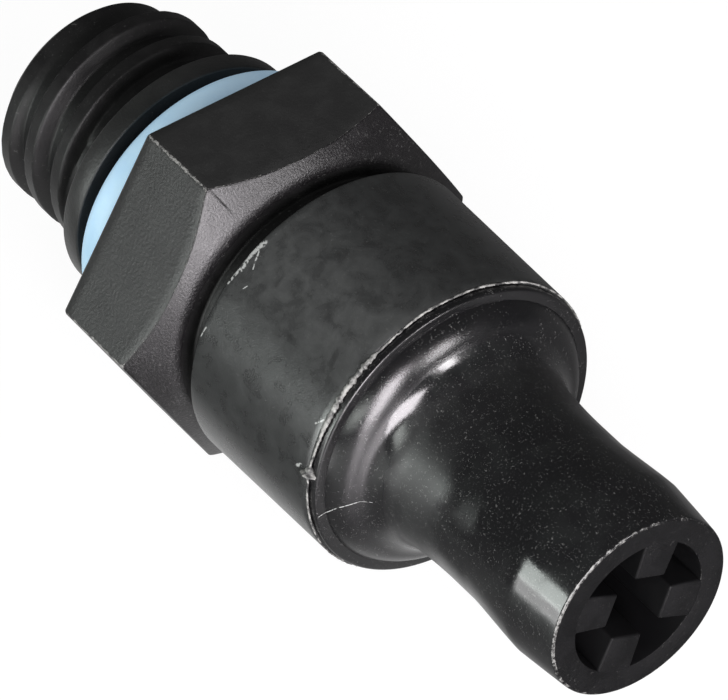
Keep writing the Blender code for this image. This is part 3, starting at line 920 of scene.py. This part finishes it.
# %% The outline of the nipple
def nipple_outline():
    """The dome is a broad rounding on the rim's face, and a wide fillet carries it to the tube."""
    first = radians(DOME_FIRST_NORMAL)
    last = radians(DOME_LAST_NORMAL)
    dome_centre = (RIM_FACE - DOME_ROUNDING * cos(first), DOME_RADIUS - DOME_ROUNDING * sin(first))
    dome = arc(*dome_centre, DOME_ROUNDING, DOME_FIRST_NORMAL, DOME_LAST_NORMAL, 14)
    foot_rise = FOOT_LENGTH * tan(radians(FOOT_ANGLE)) / 2
    fillet_centre_radius = NIPPLE_RADIUS + foot_rise + NIPPLE_FILLET * cos(radians(FOOT_ANGLE))
    fillet_top = fillet_centre_radius - NIPPLE_FILLET * sin(last)
    slope_run = (dome[-1][1] - fillet_top) * tan(last)
    fillet_centre = dome[-1][0] + slope_run + NIPPLE_FILLET * cos(last)
    fillet = arc(
        fillet_centre, fillet_centre_radius, NIPPLE_FILLET, 180.0 + DOME_LAST_NORMAL,
        270.0 - FOOT_ANGLE, 16,
    )
    foot_start = fillet[-1][0]
    for share in shares(16):
        left = 1.0 - share
        fillet.append((foot_start + FOOT_LENGTH * share, NIPPLE_RADIUS + foot_rise * left**2))
    points = [(SPIGOT_START, SPIGOT_BORE), (SPIGOT_START, SPIGOT_RADIUS)]
    points += [(RIM_START, SPIGOT_RADIUS), (RIM_START, RIM_RADIUS)]
    points += arc(RIM_FACE - RIM_ROUNDING, RIM_RADIUS - RIM_ROUNDING, RIM_ROUNDING, 90.0, 0.0, 4)
    points += dome
    points += fillet
    tube_start = fillet[-1][0]
    for share in shares(12):
        points.append((tube_start + (FLARE_BEGINS - tube_start) * share, NIPPLE_RADIUS))
    for share in shares(12):
        flare = smooth_step(share) * BARB_SOFTNESS + share * (1 - BARB_SOFTNESS)
        radius = NIPPLE_RADIUS + (BARB_RADIUS - NIPPLE_RADIUS) * flare
        points.append((FLARE_BEGINS + (BARB_PLACE - FLARE_BEGINS) * share, radius))
    for share in shares(10):
        taper = share * (1 - BARB_BOW) + share**2 * BARB_BOW
        radius = BARB_RADIUS + (NIPPLE_END_RADIUS - BARB_RADIUS) * taper
        points.append((BARB_PLACE + (VALVE_LENGTH - 0.2 - BARB_PLACE) * share, radius))
    points += [
        (VALVE_LENGTH - 0.09, NIPPLE_END_RADIUS - 0.02),
        (VALVE_LENGTH - 0.03, NIPPLE_END_RADIUS - 0.08),
        (VALVE_LENGTH, NIPPLE_END_RADIUS - 0.2),
        (VALVE_LENGTH, NIPPLE_END_RADIUS - 0.28),
        (VALVE_LENGTH, NIPPLE_BORE + 0.12),
        (VALVE_LENGTH - 0.04, NIPPLE_BORE + 0.03),
        (VALVE_LENGTH - 0.14, NIPPLE_BORE),
        (THROAT_END, NIPPLE_BORE),
        (THROAT_START, SPIGOT_BORE),
    ]
    return points


print("the nipple's outline has", len(nipple_outline()), "points")


# %% A rib, and the whole nipple
RIB_ROUNDING = 0.18
RIB_WEAR = 0.25
FOOT_DULLED_FROM = 43.1
FOOT_DULLED_TO = 49.5
MOST_WORN_ANGLE = 150.0
RIM_WEAR = 0.72
RIM_WEAR_SWING = 0.18
MOUTH_WEAR = 0.55
MOUTH_WEAR_SWING = -0.25
NIPPLE_FINISHES = [NIPPLE_NYLON, END_NYLON, BORE_NYLON, DOME_NYLON]


def add_rib(bm, angle):
    """A block whose inner end is narrower, with soft edges, turned to its angle."""
    made = bmesh.ops.create_cube(bm, size=1.0)["verts"]
    width_at_root = RIB_TIP_WIDTH + (RIB_ROOT_WIDTH - RIB_TIP_WIDTH) * 1.3
    for vert in made:
        outer = vert.co.y > 0
        radius = RIB_ROOT_RADIUS if outer else RIB_TIP_RADIUS
        width = width_at_root if outer else RIB_TIP_WIDTH
        end = VALVE_LENGTH - RIB_RECESS if vert.co.x > 0 else VALVE_LENGTH - RIB_LENGTH
        vert.co = Vector((INLET_END + end * MM, radius * MM, vert.co.z * width * MM))
    edges = {edge for vert in made for edge in vert.link_edges}
    bevelled = bmesh.ops.bevel(
        bm,
        geom=list(edges),
        offset=RIB_ROUNDING * MM,
        offset_type="OFFSET",
        affect="EDGES",
        segments=3,
        profile=0.5,
        material=-1,
    )
    rib = {vert for face in bevelled["faces"] for vert in face.verts} | {
        vert for vert in made if vert.is_valid
    }
    turn = Matrix.Rotation(angle, 3, "X")
    bmesh.ops.rotate(bm, verts=list(rib), cent=(0.0, 0.0, 0.0), matrix=turn)
    return rib


def nipple_wear(along, radius, angle):
    """The rims of the end face are worn, the outer one most on the upper left, the inner least."""
    round_from_worst = cos(angle - radians(MOST_WORN_ANGLE))
    if along > VALVE_LENGTH - 0.15 and radius > NIPPLE_END_RADIUS - 0.25:
        return RIM_WEAR + RIM_WEAR_SWING * round_from_worst
    if along > VALVE_LENGTH - 0.1 and radius < NIPPLE_BORE + 0.1:
        return MOUTH_WEAR + MOUTH_WEAR_SWING * round_from_worst
    return 0.0


def nipple_finish(along, radius):
    if radius < NIPPLE_BORE + 0.05 or along < RIM_START - 0.02:
        return BORE_NYLON
    if along > VALVE_LENGTH - 0.02:
        return END_NYLON
    return DOME_NYLON if along < DOME_END else NIPPLE_NYLON


def build_nipple():
    bm, number = spun(nipple_outline(), NIPPLE_STEPS)
    wear = bm.verts.layers.float.new("wear")
    dulled = bm.verts.layers.float.new("dulled")
    for vert in bm.verts:
        along, radius, angle = numbers_of(vert.co)
        vert[wear] = nipple_wear(along, radius, angle)
        rising = smooth_step((along - FOOT_DULLED_FROM) / 1.2)
        vert[dulled] = rising * smooth_step((FOOT_DULLED_TO - along) / 3.0)
    for face in bm.faces:
        along, radius, _ = numbers_of(face.calc_center_median())
        face.material_index = NIPPLE_FINISHES.index(nipple_finish(along, radius))
    for angle in RIB_ANGLES:
        rib = add_rib(bm, radians(angle))
        for vert in rib:
            vert[wear] = RIB_WEAR
        for face in {face for vert in rib for face in vert.link_faces}:
            rib_finish = END_NYLON if face.normal.x > 0.3 else BORE_NYLON
            face.material_index = NIPPLE_FINISHES.index(rib_finish)
    bm.verts.layers.int.remove(number)
    return finished(
        "nipple_moulding",
        bm,
        "valve_body",
        "black_nylon",
        NIPPLE_FINISHES,
        "outlet_nipple",
        sharp=40.0,
    )


build_nipple()

# %% [markdown]
# ## The weld flash
# Where the nipple was welded into the barrel, a thin line of plastic squeezed out and froze. It
# is pale, ragged and uneven: hair-thin in places, and torn into flakes on one side. A texture on
# the joint would look flat from the side, so a small ring is spun, and its section is then made
# thick or thin, and shaken, by a noise that is the same each time.

# %% Flash material
FLASH_DARK = (0.03, 0.03, 0.03, 1.0)
FLASH_PALE = (0.30, 0.30, 0.285, 1.0)


def flash_material():
    material, tree, shader = new_material("weld_flash")
    ragged = use_group(tree, CLOUDY_PATCHES, Size=0.6, Low=0.35, High=0.62)
    surface = mixed(tree, ragged, FLASH_DARK, FLASH_PALE)
    tree.links.new(surface, shader.inputs["Base Color"])
    shader.inputs["Roughness"].default_value = 0.5
    add_bump(tree, shader, use_group(tree, MOULD_GRAIN, Size=0.15), 0.05)
    return material


FLASH_NYLON = flash_material()
print("made", FLASH_NYLON.name)

# %% The bead of flash
FLASH_PLACE = 40.45
FLASH_RADIUS = 11.13
FLASH_SECTION = 0.1
FLASH_LEAST = 0.035
FLASH_STEPS = 900
FLAKES_FROM = 118.0
FLAKES_RISE = 6.0
FLAKES_TO = 166.0
FLAKES_FALL = 26.0
LUMP_ANGLE = 169.5
LUMP_WIDTH = 1.8
LUMP_SIZE = 3.0
SHAKE = 0.10
SWAY = 0.12


def flash_size(angle):
    """How thick the bead is at an angle, in millimetres."""
    at = full_degrees(angle)
    flakes = smooth_step((at - FLAKES_FROM) / FLAKES_RISE)
    flakes *= smooth_step((FLAKES_TO - at) / FLAKES_FALL)
    flakes += LUMP_SIZE * exp(-(((at - LUMP_ANGLE) / LUMP_WIDTH) ** 2))
    point = Vector((cos(angle), sin(angle), 0.0))
    slow = 0.5 + 0.5 * noise.noise(point * 9.0)
    quick = 0.5 + 0.5 * noise.noise(point * 60.0 + Vector((7.0, 0.0, 0.0)))
    return FLASH_LEAST + 0.03 * slow + 0.05 * quick * slow + 0.2 * flakes * quick


def build_flash():
    section = arc(FLASH_PLACE, FLASH_RADIUS, FLASH_SECTION, 0.0, 315.0, 7)
    bm, number = spun(section, FLASH_STEPS)
    for vert in bm.verts:
        along, radius, angle = numbers_of(vert.co)
        along -= FLASH_PLACE
        size = flash_size(angle) / FLASH_SECTION
        shake = noise.noise(Vector((cos(angle), sin(angle), along)) * 45.0) * SHAKE
        sway = noise.noise(Vector((cos(angle), sin(angle), 5.0)) * 3.0) * SWAY
        vert.co = place(
            FLASH_PLACE + along * size * 1.2 + sway + shake,
            FLASH_RADIUS + (radius - FLASH_RADIUS) * size + max(0.0, shake) * 0.5,
            angle,
        )
    bm.verts.layers.int.remove(number)
    return finished(
        "weld_flash_bead", bm, "valve_body", "black_nylon", [FLASH_NYLON], sharp=180.0
    )


build_flash()

# %% [markdown]
# ## The sealing ring
# The ring is a soft rubber cord closed into a circle, pale blue and almost without a mark. A torus
# would do, but a spun circle keeps its sizes in the same numbers as the groove. Its finish is
# smooth and dull, with a faint bloom. A weak painted glow, the ring's own colour given off as
# light, lifts its shaded side and stands for the light that enters pale rubber and comes out again.

# %% Rubber ring
RUBBER_COLOUR = (0.50, 0.74, 0.96, 1.0)
BLOOM_COLOUR = (0.56, 0.79, 0.98, 1.0)


def rubber_material():
    material, tree, shader = new_material("blue_rubber")
    bloom = use_group(tree, CLOUDY_PATCHES, Size=3.0, Low=0.35, High=0.7)
    surface = mixed(tree, bloom, RUBBER_COLOUR, BLOOM_COLOUR)
    tree.links.new(surface, shader.inputs["Base Color"])
    # painted glow: the ring's colour is given off as a weak light, which lifts its shaded side
    tree.links.new(surface, shader.inputs["Emission Color"])
    shader.inputs["Emission Strength"].default_value = 0.16
    rough = maths(tree, "MULTIPLY_ADD", bloom, 0.12, 0.42)
    tree.links.new(rough, shader.inputs["Roughness"])
    add_bump(tree, shader, use_group(tree, MOULD_GRAIN, Size=0.2), 0.004)
    return material


RING_PLACE = 14.95
RING_RADIUS = 8.82
CORD_RADIUS = 1.75
RING_STEPS = 160
ring_outline = arc(RING_PLACE, RING_RADIUS, CORD_RADIUS, 0.0, 352.5, 47)
ring_bm, ring_number = spun(ring_outline, RING_STEPS)
ring_bm.verts.layers.int.remove(ring_number)
finished(
    "rubber_ring", ring_bm, "valve_body", "blue_rubber", [rubber_material()], "sealing_ring",
    sharp=180.0,
)

# %% [markdown]
# ## The metal inside
# A plated seat plate, a spring steel retainer, a brass orifice, the plunger and its spring are
# hidden in the photograph, and show only from the inlet end. The CAD shapes of four of them are
# right, and get a metal finish. The spring is wound again, finer.
# A curve could follow the helix, but spin winds a mesh in one call, and its turns can then be set
# close at the ends and open between, as on a real spring.

# %% Metal finishes
def metal(name, colour, roughness, grain_size, grain_depth):
    """Bare metal with a fine grain and a slightly uneven polish."""
    material, tree, shader = new_material(name)
    shader.inputs["Metallic"].default_value = 1.0
    patches = use_group(tree, CLOUDY_PATCHES, Size=1.5, Low=0.3, High=0.7)
    darker = tuple(0.72 * part for part in colour)
    surface = mixed(tree, patches, (*darker, 1.0), (*colour, 1.0))
    tree.links.new(surface, shader.inputs["Base Color"])
    rough = maths(tree, "MULTIPLY_ADD", patches, 0.12, roughness)
    tree.links.new(rough, shader.inputs["Roughness"])
    add_bump(tree, shader, use_group(tree, MOULD_GRAIN, Size=grain_size), grain_depth)
    return material


PLATED_STEEL = metal("plated_steel", (0.62, 0.62, 0.60), 0.28, 0.15, 0.004)
SPRING_STEEL = metal("spring_steel", (0.50, 0.50, 0.51), 0.25, 0.1, 0.003)
TURNED_BRASS = metal("turned_brass", (0.74, 0.56, 0.26), 0.22, 0.1, 0.003)

for node_name, metal_finish in (
    ("inlet_seat", PLATED_STEEL),
    ("seat_retainer", SPRING_STEEL),
    ("plunger", PLATED_STEEL),
    ("metering_orifice", TURNED_BRASS),
):
    node_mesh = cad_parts[node_name].data
    node_mesh.materials.clear()
    node_mesh.materials.append(metal_finish)
    print(f"{node_name}: {metal_finish.name}")

# %% Spring
WIRE_RADIUS = 0.35
COIL_RADIUS = 3.35
SPRING_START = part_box("main_spring")[0].x / MM - INLET_END / MM + WIRE_RADIUS
SPRING_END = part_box("main_spring")[1].x / MM - INLET_END / MM - WIRE_RADIUS
ACTIVE_TURNS = 6.5
END_TURNS = 2.0
CLOSED_PITCH = 0.85
STEPS_PER_TURN = 40
WIRE_SIDES = 12


def build_spring():
    """Winds the wire with spin, a short step along the axis at a time."""
    turns = ACTIVE_TURNS + END_TURNS
    steps = round(turns * STEPS_PER_TURN)
    bm = bmesh.new()
    wire = bmesh.ops.create_circle(bm, segments=WIRE_SIDES, radius=WIRE_RADIUS * MM)
    circle = wire["verts"]
    bmesh.ops.rotate(
        bm, verts=circle, cent=(0.0, 0.0, 0.0), matrix=Matrix.Rotation(pi / 2, 3, "X")
    )
    bmesh.ops.translate(bm, verts=circle, vec=(INLET_END, COIL_RADIUS * MM, 0.0))
    bmesh.ops.spin(
        bm,
        geom=bm.verts[:] + bm.edges[:],
        cent=(0.0, 0.0, 0.0),
        axis=(1.0, 0.0, 0.0),
        dvec=(MM, 0.0, 0.0),
        angle=2 * pi * turns,
        steps=steps,
    )
    active_rise = SPRING_END - SPRING_START - END_TURNS * CLOSED_PITCH
    for vert in bm.verts:
        step = round((vert.co.x - INLET_END) / MM)
        turn = turns * step / steps
        wound = CLOSED_PITCH * min(turn, 1.0)
        wound += active_rise * min(max(turn - 1.0, 0.0), ACTIVE_TURNS) / ACTIVE_TURNS
        wound += CLOSED_PITCH * max(turn - 1.0 - ACTIVE_TURNS, 0.0)
        vert.co.x += (SPRING_START + wound - step) * MM
    bmesh.ops.holes_fill(bm, edges=bm.edges, sides=WIRE_SIDES)
    bmesh.ops.recalc_face_normals(bm, faces=bm.faces)
    return finished(
        "wound_spring", bm, "valve_body", "spring_steel", [SPRING_STEEL], "main_spring"
    )


spring = build_spring()
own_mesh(spring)

# %% [markdown]
# ## Floor, background and light
# The photograph has a white background. Black plastic shows little but what it mirrors, so each
# light was placed by following a highlight from the camera to the surface and on to where it
# points. That gave four soft boxes, low round the near side. The white paper is the fifth light:
# mirrored, it has a small glow under the valve, a bright pool in front of it and a soft sheen,
# and only mirrored rays see those. Above the horizon the room is dark.

# %% Floor
FLOOR_HEIGHT = -HEX_FLAT * MM
FLOOR_SIZE = 1.5
PAPER_COLOUR = (0.12, 0.12, 0.12, 1.0)
PAPER_SEEN = 0.92
PAPER_SHEEN = 0.4
PAPER_ROUGHNESS = 0.4
UNDER_SLANT = -0.3
POOL_SLANT = -0.58


def seen_directly_or_mirrored(tree):
    """Two masks: camera rays, and rays that a gloss or glass surface sends on."""
    path = tree.nodes.new("ShaderNodeLightPath").outputs
    mirrored = maths(tree, "ADD", path["Is Glossy Ray"], path["Is Transmission Ray"], clamp=True)
    return path["Is Camera Ray"], mirrored


def make_floor_glow():
    """How much the mirrored paper glows: a little under the valve, and in one pool in front."""
    group, given, result = new_group(
        "floor_glow", {"Everywhere": 0.04, "Under": 0.7, "Front": 6.0}, ["Glow"]
    )
    axes = own_axes(group)
    along, across = axes["X"], axes["Y"]
    # The pairs of numbers are where each edge starts and ends, in metres from the valve's middle.
    under = product(
        group,
        stepped(group, maths(group, "MULTIPLY_ADD", along, UNDER_SLANT, across), -0.0155, -0.01),
        faded(group, across, 0.0, 0.01),
        faded(group, along, -0.002, 0.034),
    )
    pool = product(
        group,
        stepped(group, maths(group, "MULTIPLY_ADD", across, POOL_SLANT, along), 0.025, 0.033),
        faded(group, across, -0.06, -0.04),
        faded(group, along, 0.0, 0.04),
    )
    glow = maths(group, "MULTIPLY_ADD", under, given["Under"], given["Everywhere"])
    glow = maths(group, "MULTIPLY_ADD", pool, given["Front"], glow)
    group.links.new(glow, result["Glow"])
    return group


def floor_material():
    """White paper to the camera. To mirrored rays it has its glow, and a sheen by the nipple."""
    material, tree, _ = new_material("white_floor")
    tree.nodes.clear()
    direct, mirrored = seen_directly_or_mirrored(tree)
    paper = add_node(tree, "ShaderNodeBsdfDiffuse", {"Color": PAPER_COLOUR})
    mirrored_glow = product(tree, mirrored, use_group(tree, make_floor_glow()))
    strength = maths(tree, "MULTIPLY_ADD", direct, PAPER_SEEN, mirrored_glow)
    glow = add_node(tree, "ShaderNodeEmission", {"Strength": strength})
    share = product(tree, stepped(tree, own_axes(tree)["X"], -0.006, 0.004), PAPER_SHEEN, mirrored)
    sheen = add_node(
        tree, "ShaderNodeBsdfGlossy", {"Color": share, "Roughness": PAPER_ROUGHNESS}
    )
    both = add_node(tree, "ShaderNodeAddShader", {0: paper.outputs[0], 1: glow.outputs[0]})
    all_three = add_node(tree, "ShaderNodeAddShader", {0: both.outputs[0], 1: sheen.outputs[0]})
    add_node(tree, "ShaderNodeOutputMaterial", {"Surface": all_three.outputs[0]})
    return material


floor_bm = bmesh.new()
bmesh.ops.create_grid(floor_bm, x_segments=2, y_segments=2, size=FLOOR_SIZE)
bmesh.ops.translate(floor_bm, verts=floor_bm.verts, vec=(0.0, 0.0, FLOOR_HEIGHT))
floor_mesh = bpy.data.meshes.new("floor")
floor_bm.to_mesh(floor_mesh)
floor_bm.free()
floor_mesh.materials.append(floor_material())
floor = bpy.data.objects.new("floor", floor_mesh)
bpy.context.scene.collection.objects.link(floor)
print(f"the floor is {-FLOOR_HEIGHT / MM:.0f} mm below the axis")

# %% World
LIGHTING_GREY = (0.30, 0.30, 0.30, 1.0)
MIRRORED_GREY = (0.10, 0.10, 0.10, 1.0)
WHITE = (1.0, 1.0, 1.0, 1.0)


def dark_room():
    """White to the camera, dim to the rays that light the valve, and darker where mirrored."""
    world = bpy.data.worlds.new("room")
    world.use_nodes = True
    tree = world.node_tree
    tree.nodes.clear()
    direct, mirrored = seen_directly_or_mirrored(tree)
    dim = mixed(tree, mirrored, LIGHTING_GREY, MIRRORED_GREY)
    seen = mixed(tree, direct, dim, WHITE)
    back = add_node(tree, "ShaderNodeBackground", {"Color": seen})
    add_node(tree, "ShaderNodeOutputWorld", {"Surface": back.outputs[0]})
    return world


bpy.context.scene.world = dark_room()
print("the world is", bpy.context.scene.world.name)

# %% Lamps
LAMP_DISTANCE = 0.35


def soft_box(name, round_from_front, above, wide, tall, radiance, colour):
    """A rectangular lamp, placed and sized by the angles at which the valve sees it."""
    turn, rise = radians(round_from_front), radians(above)
    towards = Vector((sin(turn) * cos(rise), -cos(turn) * cos(rise), sin(rise)))
    lamp = bpy.data.lights.new(name, "AREA")
    lamp.shape = "RECTANGLE"
    lamp.size = 2 * LAMP_DISTANCE * tan(radians(wide / 2)) * cos(rise)
    lamp.size_y = 2 * LAMP_DISTANCE * tan(radians(tall / 2))
    lamp.energy = radiance * pi * lamp.size * lamp.size_y
    lamp.color = colour
    box = bpy.data.objects.new(name, lamp)
    box.location = towards * LAMP_DISTANCE
    box.rotation_mode = "QUATERNION"
    box.rotation_quaternion = (-towards).to_track_quat("-Z", "Y")
    box.visible_camera = False
    bpy.context.scene.collection.objects.link(box)
    print(f"{name}: {lamp.energy:.2f} W")
    return box


# Degrees round from the front, above, wide and tall, then the brightness and the colour.
soft_box("front_box", 67.0, 16.0, 22.0, 32.0, 22.0, (1.0, 0.95, 0.99))
soft_box("end_box", 103.0, 20.0, 10.0, 20.0, 26.0, (1.0, 0.97, 0.99))
soft_box("side_box", -15.0, 4.0, 21.0, 24.0, 10.5, (0.93, 1.0, 0.96))
soft_box("window", 32.0, 17.0, 30.0, 14.0, 7.0, (0.95, 1.0, 0.96))
